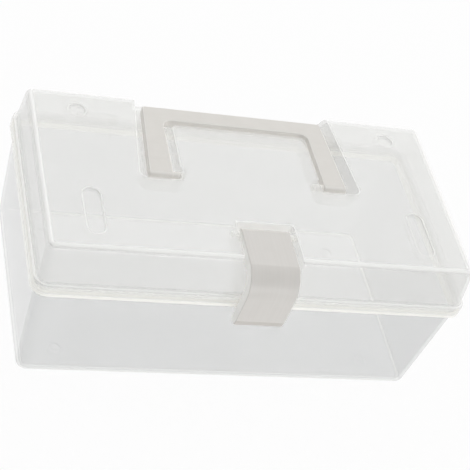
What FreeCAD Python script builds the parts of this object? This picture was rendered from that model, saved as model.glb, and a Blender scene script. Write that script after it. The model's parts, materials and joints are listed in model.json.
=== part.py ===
import FreeCAD, Part
import math
import os
from FreeCAD import Vector

# Carry box of translucent polypropylene: a tapered tub, a hinged lid, a bail handle that folds into the
# lid, and a moulded latch that hooks under the rim.
# Millimetres, +Z up, origin under the middle of the box on the surface it stands on. +X runs along the
# length, the latch is on the front (-Y) and the hinge on the back (+Y).

# Overall sizes
rim_length = 247.6          # outside of the rim, along X
rim_width = 131.6           # outside of the rim, along Y
tub_height = 72.8           # standing surface to the seam between tub and lid
lid_height = 28.4           # seam to the flat top
wall = 1.8                  # moulded wall of tub and lid

# Rim
rim_corner = 8.6            # corner radius of the rim, in plan
rim_overhang = 2.6          # rim beyond the walls
flange_height = 3.6         # rim bead of the tub
flange_bevel = 1.6          # bevel under the bead, where the latch catches
lip_height = 5.6            # rim bead of the lid
lip_round = 2.0             # top edge of the lid's bead
seam_round = 0.6            # edges that meet at the seam
tongue_height = 4.6         # tub wall standing up inside the lid's bead
tongue_gap = 0.4            # clearance round and above the tongue
tongue_bevel = 0.6

# Tub
tub_end_lean = 3.7          # each end wall leans in by this much, down to the floor
tub_side_lean = 2.5         # front and back walls likewise
tub_bottom_round = 4.0
foot_radius = 4.3
foot_height = 1.8
foot_inset_x = 23.5         # foot centre from the floor's end edge
foot_inset_y = 17.4         # foot centre from the floor's front or back edge
foot_bevel = 0.7

# Lid
lid_end_lean = 0.3          # each end wall leans in by this much, up to the top
lid_side_lean = 4.6         # front and back walls likewise
lid_corner = 4.6            # upright corners
lid_top_round = 4.0         # edge round the flat top
stack_gap = 0.4             # stacking recess wider than the foot
stack_depth = 1.5
stack_slot_travel = 22.4    # straight length of the two front stacking recesses
recess_edge_round = 0.6     # top edges of all recesses in the lid

# Handle
handle_pivot_y = 3.0
handle_thickness = 5.2
handle_drop = 2.0           # top of the folded handle below the lid's top
handle_back_gap = 4.1       # grip from the lid's back edge
handle_grip_width = 10.4
handle_side_gap = 3.4       # leg from the island
handle_leg_width = 13.6     # at the pivot
handle_leg_taper = 2.8      # leg width lost up to the grip
handle_inner_corner = 5.0
handle_outer_corner = 1.5
handle_edge_round = 0.8
handle_pin_radius = 2.0
handle_pin_end_gap = 0.4    # pin stands this far past the island's wall
handle_slot_share = 0.9     # snap-in slot over the pin, as a share of the pin's width

# Handle recess in the lid: a U-shaped channel round an island, open to the back
channel_floor_gap = 0.8     # under the folded handle
channel_front_gap = 4.6     # from the pivot end of the legs to the front edge
channel_side_gap = 3.7      # from the legs to the foot of the sides, at the pivot end
channel_splay = 6.1         # half width lost from the front edge to the lid's back edge
channel_side_slope = 3.0    # the sides come in by this much down to the floor
channel_front_slope = 0.7
channel_corner = 4.0
island_front_half = 41.5
island_splay = 1.0
island_corner = 3.5
island_root = 2.5           # round between the island's sides and the front wall
finger_gap = 5.3            # from the island to the grip

# Latch
latch_width = 28.0
latch_cheek_gap = 0.8       # side cheeks from the rim's front
latch_top_drop = 1.3        # top of the latch below the lid's top
latch_pivot_setback = 21.0  # pivot behind the lid's front edge
latch_bend_depth = 11.8     # the bend over the front edge starts this far behind the latch's front
latch_crease = 12.0         # degrees that the top turns down by where the bend starts
latch_crease_round = 2.0
latch_depth = 6.4           # depth of the side cheeks, rounded about the pivot at the back end
latch_skin = 2.0
latch_below_rim = 5.6       # bottom of the latch under the rim bead
latch_edge_round = 0.7
latch_tip_height = 4.0      # the bottom of the front turns in
latch_tip_lean = 0.9        # by this much
latch_pin_radius = 1.6
latch_pin_end_gap = 0.4     # pin stands this far past the recess wall
hook_gap = 0.3              # hook from the bevel under the rim
hook_height = 3.4           # hook shelf, along the skin
hook_bite = 0.5             # hook tip stays this far short of the bevel's inner edge

# Latch recess in the lid
latch_recess_gap = 2.5      # each side of the latch
latch_floor_gap = 1.3       # under the latch
latch_back_gap = 1.7        # from the latch's rounded end to the back wall
latch_recess_front = 1.5    # depth of the recess down the front wall
latch_recess_corner = 2.0

# Hinge
hinge_spacing = 144.0       # between the middles of the two hinges
hinge_pin_radius = 1.5
hinge_pin_head_radius = 2.2
hinge_pin_head = 1.0        # thickness of the pin's head
hinge_knuckle_radius = 3.4  # the lid's knuckle
hinge_knuckle_width = 16.0
hinge_side_gap = 0.4        # knuckle from each ear
hinge_ear_thickness = 2.8
hinge_ear_radius = 3.0
hinge_root = 1.0            # ears and knuckles reach this far into the beads
hinge_gusset_height = 10.0
hinge_flange_gap = 0.4      # knuckle from the back of the tub's bead
hinge_neck_lift = 0.4       # underside of the neck above the seam
hinge_neck_drop = 0.8       # top of the neck below the top of the lid's bead
hinge_stop_angle = 285.0    # stop rib on the knuckle, in degrees from +Y towards +Z
hinge_stop_radius = 0.9     # round edge of the stop rib
hinge_stop_gap = 0.1        # stop rib from the tub's bead when the lid is fully open

# Fits
running_gap = 0.06          # radial clearance of a pin that turns in its seat
seat_gap = 0.02             # radial clearance of a pin that is pushed in
overrun = 5.0               # cuts run past the faces by this much
near = 0.01                 # two places closer than this are the same

# Levels and places that follow from the sizes above
top_z = tub_height + lid_height
flange_z = tub_height - flange_height
lip_z = tub_height + lip_height
tongue_z = tub_height + tongue_height
rebate_z = tongue_z + tongue_gap
wall_length = rim_length - 2 * rim_overhang
wall_width = rim_width - 2 * rim_overhang
wall_corner = rim_corner - rim_overhang
floor_length = wall_length - 2 * tub_end_lean
floor_width = wall_width - 2 * tub_side_lean
lid_top_length = wall_length - 2 * lid_end_lean
lid_top_width = wall_width - 2 * lid_side_lean
lid_edge_y = lid_top_width / 2
foot_x = floor_length / 2 - foot_inset_x
foot_y = floor_width / 2 - foot_inset_y
handle_top_z = top_z - handle_drop
handle_pivot_z = handle_top_z - handle_thickness / 2
handle_end_y = handle_pivot_y - handle_thickness / 2
handle_back_y = lid_edge_y - handle_back_gap
handle_grip_y = handle_back_y - handle_grip_width
handle_inner_half = island_front_half + handle_side_gap
handle_outer_half = handle_inner_half + handle_leg_width
channel_depth = handle_drop + handle_thickness + channel_floor_gap
channel_floor_z = top_z - channel_depth
channel_front_y = handle_end_y - channel_front_gap
channel_front_half = handle_outer_half + channel_side_gap + channel_side_slope
island_back_y = handle_grip_y - finger_gap
handle_pin_end = island_front_half - island_splay - wall - handle_pin_end_gap
latch_top_z = top_z - latch_top_drop
latch_front_y = -rim_width / 2 - latch_cheek_gap - latch_depth
latch_pivot_y = -lid_edge_y + latch_pivot_setback
latch_barrel = latch_depth / 2
latch_pivot_z = latch_top_z - latch_barrel
latch_bottom_z = flange_z - latch_below_rim
latch_bend = latch_bend_depth / (1 - math.sin(math.radians(latch_crease)))
latch_bend_y = latch_front_y + latch_bend
latch_bend_z = latch_top_z - latch_bend * math.cos(math.radians(latch_crease))
latch_recess_half = latch_width / 2 + latch_recess_gap
latch_floor_z = latch_top_z - latch_depth - latch_floor_gap
latch_recess_back_y = latch_pivot_y + latch_barrel + latch_back_gap
hinge_y = rim_width / 2 + hinge_flange_gap + hinge_knuckle_radius
hinge_z = tub_height


# Helpers
def prism(points, axis_length):
    """Extrudes a closed outline of points by a vector."""
    return Part.Face(Part.makePolygon(points + points[:1])).extrude(axis_length)


def frustum(lower, upper):
    """Solid with flat sides between two outlines that have the same number of corners."""
    return Part.makeLoft([Part.makePolygon(ring + ring[:1]) for ring in (lower, upper)], True, True)


def rectangle(length, width, z):
    half_x, half_y = length / 2, width / 2
    return [Vector(-half_x, -half_y, z), Vector(half_x, -half_y, z),
            Vector(half_x, half_y, z), Vector(-half_x, half_y, z)]


def rounded(shape, radius, chosen):
    """Rounds the edges that the test picks."""
    return shape.makeFillet(radius, [e for e in shape.Edges if chosen(e)])


def bevelled(shape, size, chosen):
    """Bevels the edges that the test picks."""
    return shape.makeChamfer(size, [e for e in shape.Edges if chosen(e)])


def at_level(z):
    """Test for edges that lie at one height."""
    return lambda e: all(abs(v.Z - z) < near for v in e.Vertexes)


def upright(z0, z1):
    """Test for edges that run from one height to another."""
    def test(e):
        heights = sorted(v.Z for v in e.Vertexes)
        return len(heights) == 2 and abs(heights[0] - z0) < near and abs(heights[1] - z1) < near
    return test


def rounded_plate(length, width, radius, z0, z1):
    block = prism(rectangle(length, width, z0), Vector(0, 0, z1 - z0))
    return rounded(block, radius, upright(z0, z1))


def tapered_box(size0, size1, z0, z1, corner):
    """Box with flat leaning sides and rounded upright edges. Each size is a length and a width."""
    (x0, y0), (x1, y1) = [(length / 2, width / 2) for length, width in (size0, size1)]
    block = Part.makeWedge(-x0, z0, -y0, -y1, -x1, x0, z1, y0, y1, x1)
    block.rotate(Vector(0, 0, 0), Vector(1, 0, 0), 90)
    return rounded(block, corner, upright(z0, z1))


def rod(radius, x0, x1, y, z):
    """Round bar along X."""
    return Part.makeCylinder(radius, x1 - x0, Vector(x0, y, z), Vector(1, 0, 0))


def both_sides(shape):
    """The shape and its mirror image across the middle of the length."""
    return [shape, shape.mirror(Vector(0, 0, 0), Vector(1, 0, 0))]


def size_at(z, z0, size0, z1, size1):
    """Length and width of a tapered box at a height."""
    share = (z - z0) / (z1 - z0)
    return tuple(a + (b - a) * share for a, b in zip(size0, size1))


def inside(size):
    """Length and width within the walls."""
    return tuple(s - 2 * wall for s in size)


# Tub
def tub_walls():
    """Outside of the tapered tub, and its inside, which runs on up through the rim."""
    floor, rim = (floor_length, floor_width), (wall_length, wall_width)
    outer = tapered_box(floor, rim, foot_height, tub_height, wall_corner)
    outer = rounded(outer, tub_bottom_round, at_level(foot_height))
    low_z, high_z = foot_height + wall, tongue_z + overrun
    low, high = [inside(size_at(z, foot_height, floor, tub_height, rim)) for z in (low_z, high_z)]
    inner = tapered_box(low, high, low_z, high_z, wall_corner - wall)
    inner = rounded(inner, tub_bottom_round - wall, at_level(low_z))
    return outer, inner


def tub_rim():
    """Bead round the tub, bevelled below, and the tongue that stands up inside the lid."""
    bead = rounded_plate(rim_length, rim_width, rim_corner, flange_z, tub_height)
    bead = bevelled(bead, flange_bevel, at_level(flange_z))
    bead = rounded(bead, seam_round, at_level(tub_height))
    root_z = tub_height - flange_height / 2
    tongue = rounded_plate(wall_length, wall_width, wall_corner, root_z, tongue_z)
    return bead.fuse(bevelled(tongue, tongue_bevel, at_level(tongue_z)))


def feet():
    """Hollow feet, dimpled from inside, and the dimples to cut."""
    solids, dimples = [], []
    dimple_radius = foot_radius - wall
    for x in (-foot_x, foot_x):
        for y in (-foot_y, foot_y):
            foot = Part.makeCylinder(foot_radius, foot_height + wall / 2, Vector(x, y, 0))
            solids.append(bevelled(foot, foot_bevel, at_level(0)))
            dimples.append(Part.makeCylinder(dimple_radius, foot_height + wall, Vector(x, y, wall)))
    return solids, dimples


def hinge_ears():
    """Two gusseted ears for each hinge, and the holes for their pins."""
    root_y = rim_width / 2 - hinge_root
    low_z = hinge_z - hinge_ear_radius
    wall_y = (wall_width - wall) / 2
    ear_x = hinge_knuckle_width / 2 + hinge_side_gap
    along = Vector(hinge_ear_thickness, 0, 0)
    solids, holes = [], []
    for middle in (-hinge_spacing / 2, hinge_spacing / 2):
        for x in (middle - ear_x - hinge_ear_thickness, middle + ear_x):
            solids.append(prism([Vector(x, root_y, low_z), Vector(x, hinge_y, low_z),
                                 Vector(x, hinge_y, hinge_z), Vector(x, root_y, hinge_z)], along))
            solids.append(prism([Vector(x, wall_y, tub_height - flange_bevel), Vector(x, hinge_y, low_z),
                                 Vector(x, wall_y, flange_z - hinge_gusset_height)], along))
            solids.append(rod(hinge_ear_radius, x, x + hinge_ear_thickness, hinge_y, hinge_z))
        reach = ear_x + hinge_ear_thickness + overrun
        holes.append(rod(hinge_pin_radius + seat_gap, middle - reach, middle + reach, hinge_y, hinge_z))
    return solids, holes


def make_tub():
    outer, inner = tub_walls()
    feet_solids, dimples = feet()
    ears, pin_holes = hinge_ears()
    shell = outer.fuse([tub_rim()] + feet_solids + ears)
    return shell.cut([inner] + dimples + pin_holes).removeSplitter()


# Lid
def channel_half(y):
    """Half width of the handle's channel at the lid's top."""
    return channel_front_half - channel_splay * (y - channel_front_y) / (lid_edge_y - channel_front_y)


def island_half(y):
    """Half width of the island between the handle's legs."""
    return island_front_half - island_splay * (y - channel_front_y) / (island_back_y - channel_front_y)


def trapezium(half_at, y0, y1, z):
    """Outline across the lid whose half width depends on y."""
    return [Vector(-half_at(y0), y0, z), Vector(half_at(y0), y0, z),
            Vector(half_at(y1), y1, z), Vector(-half_at(y1), y1, z)]


def handle_channel(grow):
    """Space of the handle's channel, made larger all round by a wall thickness for the inside."""
    low_z, high_z = channel_floor_z - grow, top_z + overrun

    def ring(z):
        down_share = (top_z - z) / channel_depth
        side = grow - channel_side_slope * down_share
        front_y = channel_front_y + channel_front_slope * down_share - grow
        return trapezium(lambda y: channel_half(y) + side, front_y, wall_width / 2 + overrun, z)

    front_corners = lambda e: upright(low_z, high_z)(e) and e.CenterOfMass.y < handle_pivot_y
    space = rounded(frustum(ring(low_z), ring(high_z)), channel_corner + grow, front_corners)

    under_z = low_z - overrun
    island = prism(trapezium(lambda y: island_half(y) - grow, channel_front_y - grow - overrun,
                             island_back_y - grow, under_z), Vector(0, 0, high_z + overrun - under_z))
    back_corners = lambda e: upright(under_z, high_z + overrun)(e) and e.CenterOfMass.y > handle_pivot_y
    space = space.cut(rounded(island, island_corner - grow, back_corners))
    roots = lambda e: front_corners(e) and abs(e.CenterOfMass.x) < handle_inner_half
    return rounded(space, island_root + grow, roots)


def lid_front_y(z):
    """Outside of the lid's front wall at a height."""
    return -wall_width / 2 + lid_side_lean * (z - lip_z) / (top_z - lip_z)


def latch_channel(grow):
    """Space of the latch's recess, over the front edge and down to the rim bead."""
    half = latch_recess_half + grow
    back_y = latch_recess_back_y + grow
    floor_z = latch_floor_z - grow
    far_y = -rim_width / 2 - overrun
    inset = latch_recess_front + grow
    outline = [Vector(-half, back_y, top_z + overrun), Vector(-half, back_y, floor_z),
               Vector(-half, lid_front_y(floor_z) + inset, floor_z),
               Vector(-half, lid_front_y(lip_z) + inset, lip_z),
               Vector(-half, far_y, lip_z), Vector(-half, far_y, top_z + overrun)]
    space = prism(outline, Vector(2 * half, 0, 0))
    return rounded(space, latch_recess_corner + grow, upright(floor_z, top_z + overrun))


def stacking_recesses(grow):
    """Round recesses at the back and long ones at the front, for the feet of a box on top."""
    radius = foot_radius + stack_gap + grow
    floor_z = top_z - stack_depth - grow
    height = stack_depth + grow + overrun
    side, up = Vector(radius, 0, 0), Vector(0, 0, height)
    spaces = []
    for x in (-foot_x, foot_x):
        spaces.append(Part.makeCylinder(radius, height, Vector(x, foot_y, floor_z)))
        ends = [Vector(x, -foot_y, floor_z), Vector(x, -foot_y + stack_slot_travel, floor_z)]
        slot = prism([ends[0] - side, ends[0] + side, ends[1] + side, ends[1] - side], up)
        slot = slot.fuse([Part.makeCylinder(radius, height, p) for p in ends]).removeSplitter()
        spaces.append(slot)
    return spaces


def recess_edge(e):
    """Test for the top edges of the recesses, which lie inside the flat top's own border."""
    middle = e.CenterOfMass
    in_length = abs(middle.x) < lid_top_length / 2 - lid_top_round
    in_width = abs(middle.y) < lid_top_width / 2 - lid_top_round
    return at_level(top_z)(e) and in_length and in_width


def handle_seats():
    """Bore in each side of the island for the handle's pins, with a snap-in slot above."""
    x0 = handle_pin_end - running_gap
    x1 = handle_inner_half
    bore = rod(handle_pin_radius + running_gap, x0, x1, handle_pivot_y, handle_pivot_z)
    half = handle_pin_radius * handle_slot_share
    slot = Part.makeBox(x1 - x0, 2 * half, top_z - handle_pivot_z + overrun,
                        Vector(x0, handle_pivot_y - half, handle_pivot_z))
    return both_sides(bore.fuse(slot))


def latch_seats():
    x1 = latch_recess_half + wall + overrun
    return [rod(latch_pin_radius + running_gap, -x1, x1, latch_pivot_y, latch_pivot_z)]


def hinge_knuckles():
    """Knuckles that turn on the hinge pins, each with a rib that stops the lid when it is open."""
    root_y = rim_width / 2 - hinge_root
    neck_low = hinge_z + hinge_neck_lift
    stop_at = hinge_flange_gap + hinge_knuckle_radius - hinge_stop_gap - hinge_stop_radius
    angle = math.radians(hinge_stop_angle)
    solids = []
    for middle in (-hinge_spacing / 2, hinge_spacing / 2):
        x0, x1 = middle - hinge_knuckle_width / 2, middle + hinge_knuckle_width / 2
        neck = prism([Vector(x0, root_y, neck_low), Vector(x0, hinge_y, neck_low),
                      Vector(x0, hinge_y, hinge_z + hinge_knuckle_radius),
                      Vector(x0, root_y, lip_z - hinge_neck_drop)], Vector(hinge_knuckle_width, 0, 0))
        stop = rod(hinge_stop_radius, x0, x1, hinge_y + stop_at * math.cos(angle),
                   hinge_z + stop_at * math.sin(angle))
        barrel = rod(hinge_knuckle_radius, x0, x1, hinge_y, hinge_z)
        bore = rod(hinge_pin_radius + running_gap, x0 - overrun, x1 + overrun, hinge_y, hinge_z)
        solids.append(barrel.fuse([neck, stop]).cut(bore))
    return solids


def make_lid():
    lower, upper = (wall_length, wall_width), (lid_top_length, lid_top_width)
    cover = tapered_box(lower, upper, lip_z, top_z, lid_corner)
    cover = rounded(cover, lid_top_round, at_level(top_z))
    bead = rounded_plate(rim_length, rim_width, rim_corner, tub_height, lip_z)
    bead = rounded(bead, lip_round, at_level(lip_z))
    bead = rounded(bead, seam_round, at_level(tub_height))
    outer = cover.fuse(bead)
    outer = outer.cut([handle_channel(0), latch_channel(0)] + stacking_recesses(0))
    outer = rounded(outer, recess_edge_round, recess_edge)

    inner_low, inner_top = tub_height, top_z - wall
    low, high = [inside(size_at(z, lip_z, lower, top_z, upper)) for z in (inner_low, inner_top)]
    inner = tapered_box(low, high, inner_low, inner_top, lid_corner - wall)
    inner = rounded(inner, lid_top_round - wall, at_level(inner_top))
    inner = inner.cut([handle_channel(wall), latch_channel(wall)] + stacking_recesses(wall))
    rebate_size = (wall_length + 2 * tongue_gap, wall_width + 2 * tongue_gap)
    rebate = rounded_plate(*rebate_size, wall_corner + tongue_gap, tub_height - overrun, rebate_z)
    shell = outer.cut([inner, rebate])
    return shell.fuse(hinge_knuckles()).cut(handle_seats() + latch_seats()).removeSplitter()


# Handle
def make_handle():
    """Bail with splayed legs and a rounded pivot end, and a pin on the inside of each leg."""
    low_z, high_z = handle_top_z - handle_thickness, handle_top_z
    inner_back_half = handle_inner_half - island_splay
    outer_back_half = inner_back_half + handle_leg_width - handle_leg_taper

    def plate(front, back, y0, y1):
        return prism([Vector(-front, y0, low_z), Vector(front, y0, low_z),
                      Vector(back, y1, low_z), Vector(-back, y1, low_z)], Vector(0, 0, high_z - low_z))

    at_back = lambda e: upright(low_z, high_z)(e) and e.CenterOfMass.y > handle_pivot_y
    body = plate(handle_outer_half, outer_back_half, handle_end_y, handle_back_y)
    body = rounded(body, handle_outer_corner, at_back)
    gap = plate(handle_inner_half, inner_back_half, handle_end_y - overrun, handle_grip_y)
    body = body.cut(rounded(gap, handle_inner_corner, at_back))
    on_face = lambda e: at_level(low_z)(e) or at_level(high_z)(e)
    pivot_end = lambda e: on_face(e) and abs(e.CenterOfMass.y - handle_end_y) < near
    long_edge = lambda e: on_face(e) and e.CenterOfMass.y > handle_pivot_y
    body = rounded(body, handle_thickness / 2 - near, pivot_end)
    body = rounded(body, handle_edge_round, long_edge)
    pins = both_sides(rod(handle_pin_radius, handle_pin_end, handle_inner_half + handle_leg_width / 2,
                          handle_pivot_y, handle_pivot_z))
    return body.fuse(pins).removeSplitter()


# Latch
def latch_bend_arc(inset):
    """Bend at a depth inside the outer face: points at the crease, half way and at the front."""
    radius = latch_bend - inset
    start = math.acos((latch_top_z - inset - latch_bend_z) / radius)
    middle = Vector(0, latch_bend_y, latch_bend_z)
    angles = (start, (start + math.pi / 2) / 2, math.pi / 2)
    return [middle + Vector(0, -math.sin(a), math.cos(a)) * radius for a in angles]


def latch_side(inset):
    """Side view of the latch's outer skin, from its turned-in tip to the rounded end about the pivot."""
    crease, bend, front = latch_bend_arc(inset)
    top = latch_top_z - inset
    barrel = latch_barrel - inset
    tip = Vector(0, front.y + latch_tip_lean, latch_bottom_z)
    return joined([tip, Vector(0, front.y, latch_bottom_z + latch_tip_height), front]) + [
        Part.Arc(front, bend, crease),
        Part.LineSegment(crease, Vector(0, latch_pivot_y, top)),
        Part.Arc(Vector(0, latch_pivot_y, top), Vector(0, latch_pivot_y + barrel, latch_pivot_z),
                 Vector(0, latch_pivot_y, latch_pivot_z - barrel)),
    ]


def across(curves, half):
    """Extrudes a closed side view to both sides of the middle."""
    face = Part.Face(Part.Wire([c.toShape() for c in curves]))
    face.translate(Vector(-half, 0, 0))
    return face.extrude(Vector(2 * half, 0, 0))


def joined(points):
    """Straight lines from point to point."""
    return [Part.LineSegment(a, b) for a, b in zip(points, points[1:])]


def latch_body():
    """Skin with deep side cheeks, open on the inside."""
    half = latch_width / 2
    crease, bend, inner = latch_bend_arc(latch_depth)
    inside_edge = joined([Vector(0, latch_pivot_y, crease.z), crease])
    inside_edge.append(Part.Arc(crease, bend, inner))
    inside_edge += joined([inner, Vector(0, inner.y, latch_bottom_z),
                           Vector(0, latch_front_y + latch_tip_lean, latch_bottom_z)])
    body = across(latch_side(0) + inside_edge, half)

    on_line = lambda y, z: lambda e: all(math.hypot(v.Y - y, v.Z - z) < near for v in e.Vertexes)
    for inset in (0, latch_depth):
        crease = latch_bend_arc(inset)[0]
        body = rounded(body, latch_crease_round, on_line(crease.y, crease.z))
    body = rounded(body, latch_crease_round, on_line(latch_front_y, latch_bottom_z + latch_tip_height))
    along_top = lambda e: at_level(latch_top_z)(e) and abs(abs(e.CenterOfMass.x) - half) < near
    body = rounded(body, latch_edge_round, along_top)
    void_low = Vector(0, latch_front_y + latch_skin + latch_tip_lean, latch_bottom_z)
    void_back = Vector(0, latch_pivot_y, latch_pivot_z - latch_barrel + latch_skin)
    below = Vector(0, 0, -overrun)
    void = latch_side(latch_skin) + joined([void_back, Vector(0, latch_pivot_y, latch_bottom_z) + below,
                                            void_low + below, void_low])
    return body.cut(across(void, half - latch_skin))


def latch_hook():
    """Shelf whose sloping tip sits under the bevel of the tub's rim."""
    rim_y = -rim_width / 2
    tip_y = rim_y + flange_bevel - hook_bite
    shoulder_y = rim_y - hook_bite
    bevel_sum = rim_y + flange_z + flange_bevel - hook_gap * math.sqrt(2)
    tip_z, shoulder_z = bevel_sum - tip_y, bevel_sum - shoulder_y
    root_y = latch_front_y + latch_skin / 2
    low_z = shoulder_z - hook_height
    side = joined([Vector(0, root_y, low_z), Vector(0, shoulder_y, low_z), Vector(0, tip_y, tip_z),
                   Vector(0, shoulder_y, shoulder_z), Vector(0, root_y, shoulder_z),
                   Vector(0, root_y, low_z)])
    return across(side, (latch_width - latch_skin) / 2)


def make_latch():
    pin_reach = latch_recess_half + wall + latch_pin_end_gap
    pins = both_sides(rod(latch_pin_radius, latch_width / 2 - latch_skin, pin_reach,
                          latch_pivot_y, latch_pivot_z))
    return latch_body().fuse([latch_hook()] + pins).removeSplitter()


# Hinge pins
def make_hinge_pin(side):
    """Pin pushed in through the ears from the outer end, with a flat head."""
    ear_x = hinge_knuckle_width / 2 + hinge_side_gap + hinge_ear_thickness
    middle = hinge_spacing / 2
    shank = rod(hinge_pin_radius, middle - ear_x, middle + ear_x, hinge_y, hinge_z)
    head = rod(hinge_pin_head_radius, middle + ear_x, middle + ear_x + hinge_pin_head, hinge_y, hinge_z)
    pin = shank.fuse(head).removeSplitter()
    return pin if side > 0 else pin.mirror(Vector(0, 0, 0), Vector(1, 0, 0))


nodes = {
    "tub": make_tub(),
    "lid": make_lid(),
    "handle": make_handle(),
    "latch": make_latch(),
    "hinge_pin_left": make_hinge_pin(-1),
    "hinge_pin_right": make_hinge_pin(1),
}
os.makedirs("parts", exist_ok=True)
for name, shape in nodes.items():
    print(name, shape.isValid(), len(shape.Solids), round(shape.Volume))
    shape.exportStep("parts/" + name + ".step")
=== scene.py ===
# %% [markdown]
# # A translucent carry box
# The object is a small carry box: a tapered tub, a hinged lid, a handle that folds flat into the lid, and
# a bent latch that closes over the front rim. Tub and lid are moulded in milky plastic, so the rim, the
# feet and the hinge show softly through the walls. Handle and latch are warm grey.
#
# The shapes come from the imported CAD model. It is loaded as a fixed frame: each piece sits on the body
# that carries it in motion, and no piece is moved or reshaped here. What is left for Blender is the eye's
# part: plastic, light and camera.

# %% Load the frame
import json
import bpy
from mathutils import Matrix, Vector


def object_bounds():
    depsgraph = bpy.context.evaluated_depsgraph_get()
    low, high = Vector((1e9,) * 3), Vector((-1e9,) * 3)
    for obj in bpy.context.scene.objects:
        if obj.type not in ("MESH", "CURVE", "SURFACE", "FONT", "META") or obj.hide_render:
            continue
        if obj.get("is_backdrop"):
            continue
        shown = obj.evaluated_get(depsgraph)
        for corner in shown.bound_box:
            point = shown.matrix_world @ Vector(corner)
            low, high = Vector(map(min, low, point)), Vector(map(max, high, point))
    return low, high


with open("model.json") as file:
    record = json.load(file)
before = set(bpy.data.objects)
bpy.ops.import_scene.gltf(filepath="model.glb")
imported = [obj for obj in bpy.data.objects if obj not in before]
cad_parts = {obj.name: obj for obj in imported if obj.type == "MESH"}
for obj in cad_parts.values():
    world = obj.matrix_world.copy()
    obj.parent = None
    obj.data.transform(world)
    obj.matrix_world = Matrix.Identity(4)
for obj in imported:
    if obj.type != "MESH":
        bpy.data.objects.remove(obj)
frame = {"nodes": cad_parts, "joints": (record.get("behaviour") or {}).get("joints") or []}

cad_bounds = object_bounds()
nodes = frame["nodes"]
for name, piece in nodes.items():
    print(name, "has", len(piece.data.polygons), "faces")

# %% [markdown]
# ## Colours and nodes
# Colour charts and photo editors give sRGB hex values, while a renderer adds up light in linear numbers.
# One function makes that change, so that every colour below can be written as a hex value. A second one
# adds a shader node, sets its sockets and makes its links. With it a material reads like a recipe: each
# line is one node, and its inputs are either numbers or the outputs of earlier lines.

# %% Helpers for colour and nodes
MM = 0.001


def linear(hex_colour):
    """Linear RGBA for an sRGB hex value."""
    channels = [int(hex_colour[i:i + 2], 16) / 255 for i in (1, 3, 5)]
    return [c / 12.92 if c <= 0.04045 else ((c + 0.055) / 1.055) ** 2.4 for c in channels] + [1.0]


def add_node(tree, kind, settings=None, **sockets):
    """Adds a node. A socket takes a number or colour, or the output of another node as a link."""
    node = tree.nodes.new(kind)
    for name, value in (settings or {}).items():
        setattr(node, name, value)
    for name, value in sockets.items():
        key = int(name[1:]) if name[1:].isdigit() else name.replace("_", " ")
        if isinstance(value, bpy.types.NodeSocket):
            tree.links.new(value, node.inputs[key])
        else:
            node.inputs[key].default_value = value
    return node


def new_material(name):
    """An empty node material and its tree."""
    material = bpy.data.materials.new(name)
    material.use_nodes = True
    material.node_tree.nodes.clear()
    return material, material.node_tree


print("mid grey #808080 is", round(linear("#808080")[0], 3), "in linear light")

# %% [markdown]
# ## Where a moulded wall looks denser and brighter
# A flat milky wall is thin along the line of sight. A rounded edge is not: the eye looks along the
# plastic there, so the rounds hide more. On the real box the edges of the recesses, the lid's upper edge
# and the rim are also brighter than the faces beside them, from gloss and from light that travels inside
# the wall and comes out. That brightness is painted here as a whiter colour: a painted highlight.
#
# The normal tells where those rounds are. On a level face its height part is 1, on a wall it is near 0,
# and only a round between the two has values in the middle. Faces that look down have negative values and
# stay plain. The normal is read in the piece's own frame, so the painted white lines stay on the edges
# when the lid swings open.
#
# The tub's flange, the band under the lid, is a second dense place: 3.6 mm of solid plastic, seen from
# its side. It is the whitest line on the box; its cream is partly the thick plastic and partly a painted
# highlight. It lies just under the seam, and the lid's hinge axis gives that height.
#
# A third is the wall at the back of the latch's recess: it hides more, and its white strip is a painted
# highlight. The latch's pivot gives its place. The mask rises over the last 2 mm before the wall, so the
# painted white runs round the corners.

# %% Masks for the dense places and their painted highlights
ROUND_TOP = (0.97, 0.998)
ROUND_FOOT = (0.6, 0.84)
FLANGE = 3.6 * MM
FLANGE_MARGIN = 0.1 * MM
PIVOT_TO_RECESS_BACK = 4.9 * MM
RECESS_HALF = 16.8 * MM
RECESS_RISE = (2.0 * MM, 0.3 * MM)
RECESS_ROUND = 0.7 * MM
RECESS_SHARE = 0.75


def joint_place(joint_name):
    """A point on a joint's axis, from the frame."""
    return next(joint["pos_m"] for joint in frame["joints"] if joint["name"] == joint_name)


SEAM = joint_place("lid_hinge")[2]
RECESS_BACK = joint_place("latch_swing")[1] + PIVOT_TO_RECESS_BACK


def rounded_edges(tree):
    """1 on the rounds that lead from a level face down to a wall, and 0 on both of those."""
    normal = add_node(tree, "ShaderNodeTexCoord").outputs["Normal"]
    level = add_node(tree, "ShaderNodeSeparateXYZ", Vector=normal).outputs["Z"]
    off_level = add_node(tree, "ShaderNodeMapRange", Value=level, From_Min=ROUND_TOP[0],
                         From_Max=ROUND_TOP[1], To_Min=1.0, To_Max=0.0)
    off_wall = add_node(tree, "ShaderNodeMapRange", Value=level, From_Min=ROUND_FOOT[0],
                        From_Max=ROUND_FOOT[1])
    return add_node(tree, "ShaderNodeMath", {"operation": "MULTIPLY"},
                    _0=off_level.outputs["Result"], _1=off_wall.outputs["Result"]).outputs[0]


def flange_band(tree, place):
    """1 on the band of the flange, just under the seam, and 0 elsewhere."""
    height = add_node(tree, "ShaderNodeSeparateXYZ", Vector=place).outputs["Z"]
    return add_node(tree, "ShaderNodeMath", {"operation": "COMPARE"}, _0=height, _1=SEAM - FLANGE / 2,
                    _2=FLANGE / 2 + FLANGE_MARGIN).outputs[0]


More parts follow.
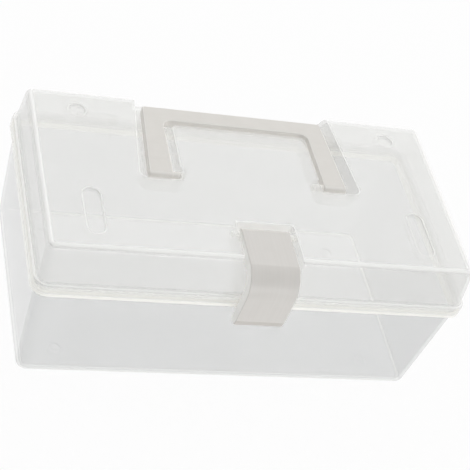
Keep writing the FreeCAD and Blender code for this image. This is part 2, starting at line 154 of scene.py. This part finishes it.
def recess_wall(tree, place):
    """Rises to its full share at the back wall of the latch's recess, and is 0 elsewhere."""
    axes = add_node(tree, "ShaderNodeSeparateXYZ", Vector=place).outputs
    rise = add_node(tree, "ShaderNodeMapRange", Value=axes["Y"], From_Min=RECESS_BACK - RECESS_RISE[0],
                    From_Max=RECESS_BACK - RECESS_RISE[1], To_Max=RECESS_SHARE).outputs["Result"]
    near = add_node(tree, "ShaderNodeMath", {"operation": "LESS_THAN"}, _0=axes["Y"],
                    _1=RECESS_BACK + RECESS_ROUND).outputs[0]
    between = add_node(tree, "ShaderNodeMath", {"operation": "COMPARE"}, _0=axes["X"], _1=0.0,
                       _2=RECESS_HALF).outputs[0]
    lid_only = add_node(tree, "ShaderNodeMath", {"operation": "GREATER_THAN"}, _0=axes["Z"],
                        _1=SEAM + FLANGE).outputs[0]
    for limit in (near, between, lid_only):
        rise = add_node(tree, "ShaderNodeMath", {"operation": "MULTIPLY"}, _0=rise, _1=limit).outputs[0]
    return rise


print("latch recess ends at y", round(RECESS_BACK / MM, 1), "mm")
print("seam at", round(SEAM / MM, 1), "mm, flange down to", round((SEAM - FLANGE) / MM, 1), "mm")

# %% [markdown]
# ## How much a wall hides
# Unpigmented polypropylene hides little straight on and more at a glancing angle, as any gloss surface
# does. The Fresnel node gives that rise for an index of 1.49. A ray that leaves the plastic meets the
# boundary from the other side, so the index is turned over on back faces.
#
# The crystals in the plastic scatter light mostly forward. A wall looks milky, and yet what stands behind
# it is hardly in shade. A see-through surface in the renderer can't scatter forward, so it is told to
# hide less from light than from the eye: rays that carry light to another surface meet a share of the
# cover only.

# %% Cover of a translucent wall
INDEX = 1.49
SHADE = 0.12


def wall_cover(tree, straight_on):
    """The alpha of a wall, from its cover as seen straight on."""
    inside = add_node(tree, "ShaderNodeNewGeometry").outputs["Backfacing"]
    index = add_node(tree, "ShaderNodeMapRange", Value=inside, To_Min=INDEX, To_Max=1 / INDEX)
    glance = add_node(tree, "ShaderNodeFresnel", IOR=index.outputs["Result"])
    seen = add_node(tree, "ShaderNodeMix", _0=glance.outputs[0], _2=straight_on, _3=1.0)
    path = add_node(tree, "ShaderNodeLightPath")
    lighting = add_node(tree, "ShaderNodeMath", {"operation": "MAXIMUM"},
                        _0=path.outputs["Is Shadow Ray"], _1=path.outputs["Is Diffuse Ray"])
    share = add_node(tree, "ShaderNodeMapRange", Value=lighting.outputs[0], To_Min=1.0, To_Max=SHADE)
    return add_node(tree, "ShaderNodeMath", {"operation": "MULTIPLY"},
                    _0=seen.outputs[0], _1=share.outputs["Result"]).outputs[0]


print("a wall shades what is behind it by", SHADE, "of what it hides")

# %% [markdown]
# ## Natural polypropylene
# Tub and lid are injection-moulded from polypropylene without pigment, in a polished mould. The melt runs
# in from one point and cools unevenly, which leaves long faint clouds: the haze below is a noise with a
# size of 60 mm along the box and 20 mm across it. Where the haze is thicker, the plastic is whiter, hides
# a little more and is a little less glossy. A polished mould still has a fine orange peel, given here as
# a bump with a 6 mm swell and a few hundredths of a millimetre of height.
#
# Each has its own pair of colours. The tub's pair is a little greyer and cooler than the lid's: a painted
# shade, for the shade that the box casts on the ground, seen through the tub.
# The dense places found above are mixed in last, as plastic that hides more, painted white as a highlight.

# %% Natural polypropylene, moulded
# The white for the rounds and the recess wall is a painted highlight.
EDGE_HIGHLIGHT_WHITE = "#FEFEFC"
# The flange's cream is partly thick plastic and partly a painted highlight.
FLANGE_CREAM_AND_HIGHLIGHT = "#FDFCF6"
EDGE_COVER = 0.8
FLANGE_COVER = 0.9
CLOUD_SIZE = (60, 20, 20)
POLISHED = (0.16, 0.22)
PEEL_SWELL = 6 * MM
PEEL_HEIGHT = 0.05 * MM


def natural_polypropylene(piece_name, clear_tint, cloudy_tint, clear_cover, cloudy_cover):
    """Milky see-through plastic. The eye gets a soft gloss, painted white highlights on the edges and faint
    long clouds from it.
    """
    material, tree = new_material("natural polypropylene, moulded, " + piece_name)
    place = add_node(tree, "ShaderNodeTexCoord").outputs["Object"]
    flow = add_node(tree, "ShaderNodeVectorMath", {"operation": "MULTIPLY"}, _0=place,
                    _1=[1 / (size * MM) for size in CLOUD_SIZE])
    haze = add_node(tree, "ShaderNodeTexNoise", Vector=flow.outputs[0], Scale=1.0, Detail=3.0)
    haze = haze.outputs["Fac"]
    edge = add_node(tree, "ShaderNodeMath", {"operation": "MAXIMUM"}, _0=rounded_edges(tree),
                    _1=recess_wall(tree, place)).outputs[0]
    band = flange_band(tree, place)
    tint = add_node(tree, "ShaderNodeMix", {"data_type": "RGBA"}, _0=haze,
                    _6=linear(clear_tint), _7=linear(cloudy_tint))
    # the flange band gets its cream, partly a painted highlight
    tint = add_node(tree, "ShaderNodeMix", {"data_type": "RGBA"}, _0=band,
                    _6=tint.outputs[2], _7=linear(FLANGE_CREAM_AND_HIGHLIGHT))
    # the rounds and the recess wall get a painted highlight in white, and more cover
    tint = add_node(tree, "ShaderNodeMix", {"data_type": "RGBA"}, _0=edge,
                    _6=tint.outputs[2], _7=linear(EDGE_HIGHLIGHT_WHITE))
    cover = add_node(tree, "ShaderNodeMapRange", Value=haze, To_Min=clear_cover, To_Max=cloudy_cover)
    cover = add_node(tree, "ShaderNodeMix", _0=band, _2=cover.outputs["Result"], _3=FLANGE_COVER)
    cover = add_node(tree, "ShaderNodeMix", _0=edge, _2=cover.outputs[0], _3=EDGE_COVER)
    rough = add_node(tree, "ShaderNodeMapRange", Value=haze, To_Min=POLISHED[0], To_Max=POLISHED[1])
    peel = add_node(tree, "ShaderNodeTexNoise", Vector=place, Scale=1 / PEEL_SWELL, Detail=1.0)
    bump = add_node(tree, "ShaderNodeBump", Height=peel.outputs["Fac"], Strength=0.25,
                    Distance=PEEL_HEIGHT)
    shader = add_node(tree, "ShaderNodeBsdfPrincipled", Base_Color=tint.outputs[2],
                      Roughness=rough.outputs["Result"], Alpha=wall_cover(tree, cover.outputs[0]),
                      Normal=bump.outputs["Normal"], IOR=INDEX, Specular_IOR_Level=1.0,
                      Coat_Weight=1.0, Coat_Roughness=0.1)
    add_node(tree, "ShaderNodeOutputMaterial", Surface=shader.outputs["BSDF"])
    return material


# the tub's greyer pair of colours is a painted shade
tub_plastic = natural_polypropylene("tub", "#D4D5D5", "#DADBDA", 0.3, 0.36)
lid_plastic = natural_polypropylene("lid", "#E3E3E0", "#E9E9E6", 0.25, 0.31)
print("made", tub_plastic.name, "and", lid_plastic.name)

# %% [markdown]
# ## Opaque polypropylene
# Handle, latch and hinge pins are moulded from the same plastic with pigment in it. The mould for such
# parts is blasted, which gives a satin surface: a roughness of 0.32 to 0.42 and a grain about 0.7 mm
# wide. The pigment is never mixed perfectly, so the colour drifts over some 9 mm.
#
# The photo shows fine upright lines on the latch, as melt leaves them along the way it ran. A noise that
# is squeezed to 1.5 mm across and stretched to 60 mm along gives them. On the handle they run along the
# grip, and are much weaker.
#
# Along the rounds of the handle runs a thin paler line, a painted highlight. The mask of the rounded edges
# places it.
#
# Two more things are painted on the latch only. Its cheeks are white, a painted highlight. The tip is
# turned in and faces a little down, so it gets less light, and it is painted darker: a painted shade. Both
# are masks on the latch's own shape: what lies farther out than 13.9 mm on either side, and the faces that
# look down.

# %% Opaque polypropylene, satin
# A painted highlight on the latch's cheeks.
CHEEK_HIGHLIGHT_WHITE = "#FAFAF6"
CHEEK = 13.9 * MM
CHEEK_FADE = 0.1 * MM
# A painted shade on the latch's tip, which faces a little down.
TIP_SHADE_GREY = "#C3BEB8"
TIP_SLOPE = (-0.05, -0.2)
# A painted highlight along the rounds of the handle.
EDGE_HIGHLIGHT_PALE = "#F4F2EE"
DRIFT_SIZE = 9 * MM
SATIN = (0.32, 0.42)
GRAIN_SIZE = 0.7 * MM
GRAIN_HEIGHT = 0.1 * MM


def opaque_polypropylene(piece_name, deep_tint, pale_tint, streak_size, streak_share,
                         edge_highlight=0.0, latch_light_marks=0.0):
    """Pigmented plastic from a blasted mould. It gives the eye a soft sheen, a drift, flow streaks and,
    where asked, painted highlights on rounds and cheeks and a painted shade on the tip.
    """
    material, tree = new_material("opaque polypropylene, satin, " + piece_name)
    place = add_node(tree, "ShaderNodeTexCoord").outputs["Object"]
    drift = add_node(tree, "ShaderNodeTexNoise", Vector=place, Scale=1 / DRIFT_SIZE, Detail=3.0)
    along = add_node(tree, "ShaderNodeVectorMath", {"operation": "DIVIDE"}, _0=place,
                     _1=[size * MM for size in streak_size])
    streak = add_node(tree, "ShaderNodeTexNoise", Vector=along.outputs[0], Scale=1.0, Detail=2.0)
    blend = add_node(tree, "ShaderNodeMix", _0=streak_share, _2=drift.outputs["Fac"],
                     _3=streak.outputs["Fac"]).outputs[0]
    tint = add_node(tree, "ShaderNodeMix", {"data_type": "RGBA"}, _0=blend,
                    _6=linear(deep_tint), _7=linear(pale_tint))
    # painted highlight on the rounds
    edge = add_node(tree, "ShaderNodeMath", {"operation": "MULTIPLY"}, _0=rounded_edges(tree),
                    _1=edge_highlight)
    tint = add_node(tree, "ShaderNodeMix", {"data_type": "RGBA"}, _0=edge.outputs[0],
                    _6=tint.outputs[2], _7=linear(EDGE_HIGHLIGHT_PALE))
    across = add_node(tree, "ShaderNodeSeparateXYZ", Vector=place).outputs["X"]
    side = add_node(tree, "ShaderNodeMath", {"operation": "ABSOLUTE"}, _0=across).outputs[0]
    # painted highlight on the cheeks
    cheek = add_node(tree, "ShaderNodeMapRange", Value=side, From_Min=CHEEK, From_Max=CHEEK + CHEEK_FADE,
                     To_Max=latch_light_marks).outputs["Result"]
    tint = add_node(tree, "ShaderNodeMix", {"data_type": "RGBA"}, _0=cheek,
                    _6=tint.outputs[2], _7=linear(CHEEK_HIGHLIGHT_WHITE))
    normal = add_node(tree, "ShaderNodeTexCoord").outputs["Normal"]
    slope = add_node(tree, "ShaderNodeSeparateXYZ", Vector=normal).outputs["Z"]
    # painted shade on the faces that look down
    tip = add_node(tree, "ShaderNodeMapRange", Value=slope, From_Min=TIP_SLOPE[0],
                   From_Max=TIP_SLOPE[1], To_Max=latch_light_marks).outputs["Result"]
    tint = add_node(tree, "ShaderNodeMix", {"data_type": "RGBA"}, _0=tip,
                    _6=tint.outputs[2], _7=linear(TIP_SHADE_GREY))
    rough = add_node(tree, "ShaderNodeMapRange", Value=blend, To_Min=SATIN[0], To_Max=SATIN[1])
    grain = add_node(tree, "ShaderNodeTexNoise", Vector=place, Scale=1 / GRAIN_SIZE, Detail=2.0)
    bump = add_node(tree, "ShaderNodeBump", Height=grain.outputs["Fac"], Strength=0.1,
                    Distance=GRAIN_HEIGHT)
    shader = add_node(tree, "ShaderNodeBsdfPrincipled", Base_Color=tint.outputs[2],
                      Roughness=rough.outputs["Result"], Normal=bump.outputs["Normal"], IOR=INDEX)
    add_node(tree, "ShaderNodeOutputMaterial", Surface=shader.outputs["BSDF"])
    return material


# the handle's rounds get a painted highlight
handle_plastic = opaque_polypropylene("handle", "#D8D5CF", "#E3E0DB", (40, 2.5, 2.5), 0.25, edge_highlight=0.6)
# the latch's cheeks get a painted highlight and its tip a painted shade
latch_plastic = opaque_polypropylene("latch", "#D3D0CB", "#DFDCD8", (1.5, 60, 60), 0.6, latch_light_marks=0.8)
pin_plastic = opaque_polypropylene("pins", "#F0F0EC", "#F6F6F2", (8, 1.5, 1.5), 0.5)
print("made", handle_plastic.name + ",", latch_plastic.name, "and", pin_plastic.name)

# %% [markdown]
# ## Dressing the pieces
# A piece from the CAD model has its material in a slot. The slot's material is swapped and the mesh is
# left as it is. In the photo the channels round handle and latch are no darker than the lid beside them.
# Shade from the opaque pieces would darken them, so handle, latch and pins cast none here.

# %% Dress the pieces


def dress(material, *names):
    """Gives pieces a material in place of the one they were loaded with."""
    for name in names:
        nodes[name].data.materials.clear()
        nodes[name].data.materials.append(material)
        print(name, "wears", material.name)


dress(tub_plastic, "tub")
dress(lid_plastic, "lid")
dress(handle_plastic, "handle")
dress(latch_plastic, "latch")
dress(pin_plastic, "hinge_pin_left", "hinge_pin_right")

for name in ("handle", "latch", "hinge_pin_left", "hinge_pin_right"):
    nodes[name].visible_shadow = False

# %% [markdown]
# ## The floor
# The photo has a plain white ground. The floor is matt white for the light that falls on it, and adds its
# own white for the eye, so it stays white up to the horizon. Gloss and clear plastic show the same white.
# The matt share of what the eye gets keeps a faint shadow under the box.

# %% White floor
FLOOR_GLOW = 0.92
FLOOR_WHITE = "#F4F4F4"
FLOOR_SIDE = 8


def seen_directly(tree):
    """1 for rays from the camera and for rays that gloss or clear plastic sends on."""
    path = add_node(tree, "ShaderNodeLightPath")
    gloss = add_node(tree, "ShaderNodeMath", {"operation": "MAXIMUM"},
                     _0=path.outputs["Is Camera Ray"], _1=path.outputs["Is Glossy Ray"])
    return add_node(tree, "ShaderNodeMath", {"operation": "MAXIMUM"},
                    _0=gloss.outputs[0], _1=path.outputs["Is Transmission Ray"]).outputs[0]


def white_floor():
    """Matt white ground that looks white to the eye whatever light falls on it."""
    material, tree = new_material("white studio floor")
    matt = add_node(tree, "ShaderNodeBsdfDiffuse", Color=linear(FLOOR_WHITE))
    glow = add_node(tree, "ShaderNodeEmission", Strength=1.0)
    bright = add_node(tree, "ShaderNodeMixShader", Fac=FLOOR_GLOW, _1=matt.outputs[0], _2=glow.outputs[0])
    both = add_node(tree, "ShaderNodeMixShader", Fac=seen_directly(tree), _1=matt.outputs[0],
                    _2=bright.outputs[0])
    add_node(tree, "ShaderNodeOutputMaterial", Surface=both.outputs[0])
    return material


bpy.ops.mesh.primitive_plane_add(size=FLOOR_SIDE)
floor = bpy.context.object
floor.name = "studio_floor"
floor.data.materials.append(white_floor())
floor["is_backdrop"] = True
print("floor is", tuple(round(side, 2) for side in floor.dimensions[:2]), "m")

# %% [markdown]
# ## The light tent
# Pale goods are photographed in a tent of white cloth that is lit from outside. Light comes from
# everywhere, so top and front of the box are nearly as bright as each other. The one dark place is the
# opening that the camera looks through: faces that point at it get less light. The bend of the latch
# does, and is the darkest part of it. The world below is white but for a dim cap in that direction, with
# a soft border.

# %% World as a light tent
TENT = 0.99
OPENING = 0.16
OPENING_WAY = (-0.38, -0.642, 0.666)
OPENING_BORDER = (0.5, 0.95)

world = bpy.data.worlds.new("light tent")
bpy.context.scene.world = world
world.use_nodes = True
tree = world.node_tree
tree.nodes.clear()
way = add_node(tree, "ShaderNodeTexCoord").outputs["Generated"]
toward = add_node(tree, "ShaderNodeVectorMath", {"operation": "DOT_PRODUCT"}, _0=way, _1=OPENING_WAY)
cloth = add_node(tree, "ShaderNodeMapRange", {"interpolation_type": "SMOOTHSTEP"},
                 Value=toward.outputs["Value"], From_Min=OPENING_BORDER[0],
                 From_Max=OPENING_BORDER[1], To_Min=TENT, To_Max=OPENING)
path = add_node(tree, "ShaderNodeLightPath")
direct = add_node(tree, "ShaderNodeMath", {"operation": "MAXIMUM"},
                  _0=path.outputs["Is Camera Ray"], _1=path.outputs["Is Transmission Ray"])
strength = add_node(tree, "ShaderNodeMapRange", Value=direct.outputs[0],
                    To_Min=cloth.outputs["Result"], To_Max=1.0)
room = add_node(tree, "ShaderNodeBackground", Color=linear("#FFFFFF"), Strength=strength.outputs["Result"])
add_node(tree, "ShaderNodeOutputWorld", Surface=room.outputs[0])
print("tent", TENT, "bright, opening", OPENING)

# %% [markdown]
# ## Two softboxes
# A large softbox behind the box and above it lights the lid's top and draws bright lines on the rounded
# edges. A smaller one low in front lifts the front walls and the latch.

# %% Softboxes


def soft_box(name, place, target, size, power):
    """A rectangular area lamp at place that points at target."""
    lamp = bpy.data.lights.new(name, "AREA")
    lamp.shape = "RECTANGLE"
    lamp.size, lamp.size_y = size
    lamp.energy = power
    holder = bpy.data.objects.new(name, lamp)
    holder.location = place
    holder.rotation_euler = (Vector(target) - Vector(place)).to_track_quat("-Z", "Y").to_euler()
    bpy.context.scene.collection.objects.link(holder)
    print(name, "with", power, "W")


middle = (0, 0, 50 * MM)
soft_box("back softbox", (0.25, 1.0, 1.2), middle, (2.2, 1.5), 7)
soft_box("front softbox", (0.1, -1.4, 0.1), middle, (1.2, 0.6), 7.5)

# %% [markdown]
# ## The camera
# The camera's place, turn and focal length were fitted to the corners of the box in the photo: the box is
# seen from the front left, from about 42 degrees above, and the camera is rolled by about 25 degrees. A
# focal length in pixels is turned into millimetres on a 36 mm wide sensor.
#
# A ray through this box meets many see-through faces, so the renderer may follow more of them than usual.

# %% Camera and view
IMAGE = 470
FOCAL_PIXELS = 1347.64
SENSOR = 36.0
EYE = Vector((-270.01, -498.30, 578.34)) * MM
CLEAR_FACES = 24

camera = bpy.data.cameras.new("photo camera")
camera.sensor_width = SENSOR
camera.lens = FOCAL_PIXELS * SENSOR / IMAGE
holder = bpy.data.objects.new("photo camera", camera)
right = Vector((0.93232, -0.19216, 0.30635))
down = Vector((0.0679, -0.73905, -0.67021))
ahead = Vector((0.3552, 0.64566, -0.67599))
turn = Matrix((right, -down, -ahead)).transposed().to_4x4()
holder.matrix_world = Matrix.Translation(EYE) @ turn
bpy.context.scene.collection.objects.link(holder)
bpy.context.scene.camera = holder
bpy.context.scene.view_settings.view_transform = "Standard"
bpy.context.scene.cycles.transparent_max_bounces = CLEAR_FACES
print("lens", round(camera.lens, 1), "mm")

# %% [markdown]
# ## Sizes
# The looks must not make the object bigger or smaller than the CAD model. Both boxes are written down, so
# that they can be compared after each render.

# %% Sizes and finish
visual_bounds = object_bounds()
for label, corners in (("CAD", cad_bounds), ("visual", visual_bounds)):
    print(label, "box", [round((high - low) / MM, 2) for low, high in zip(*corners)], "mm")
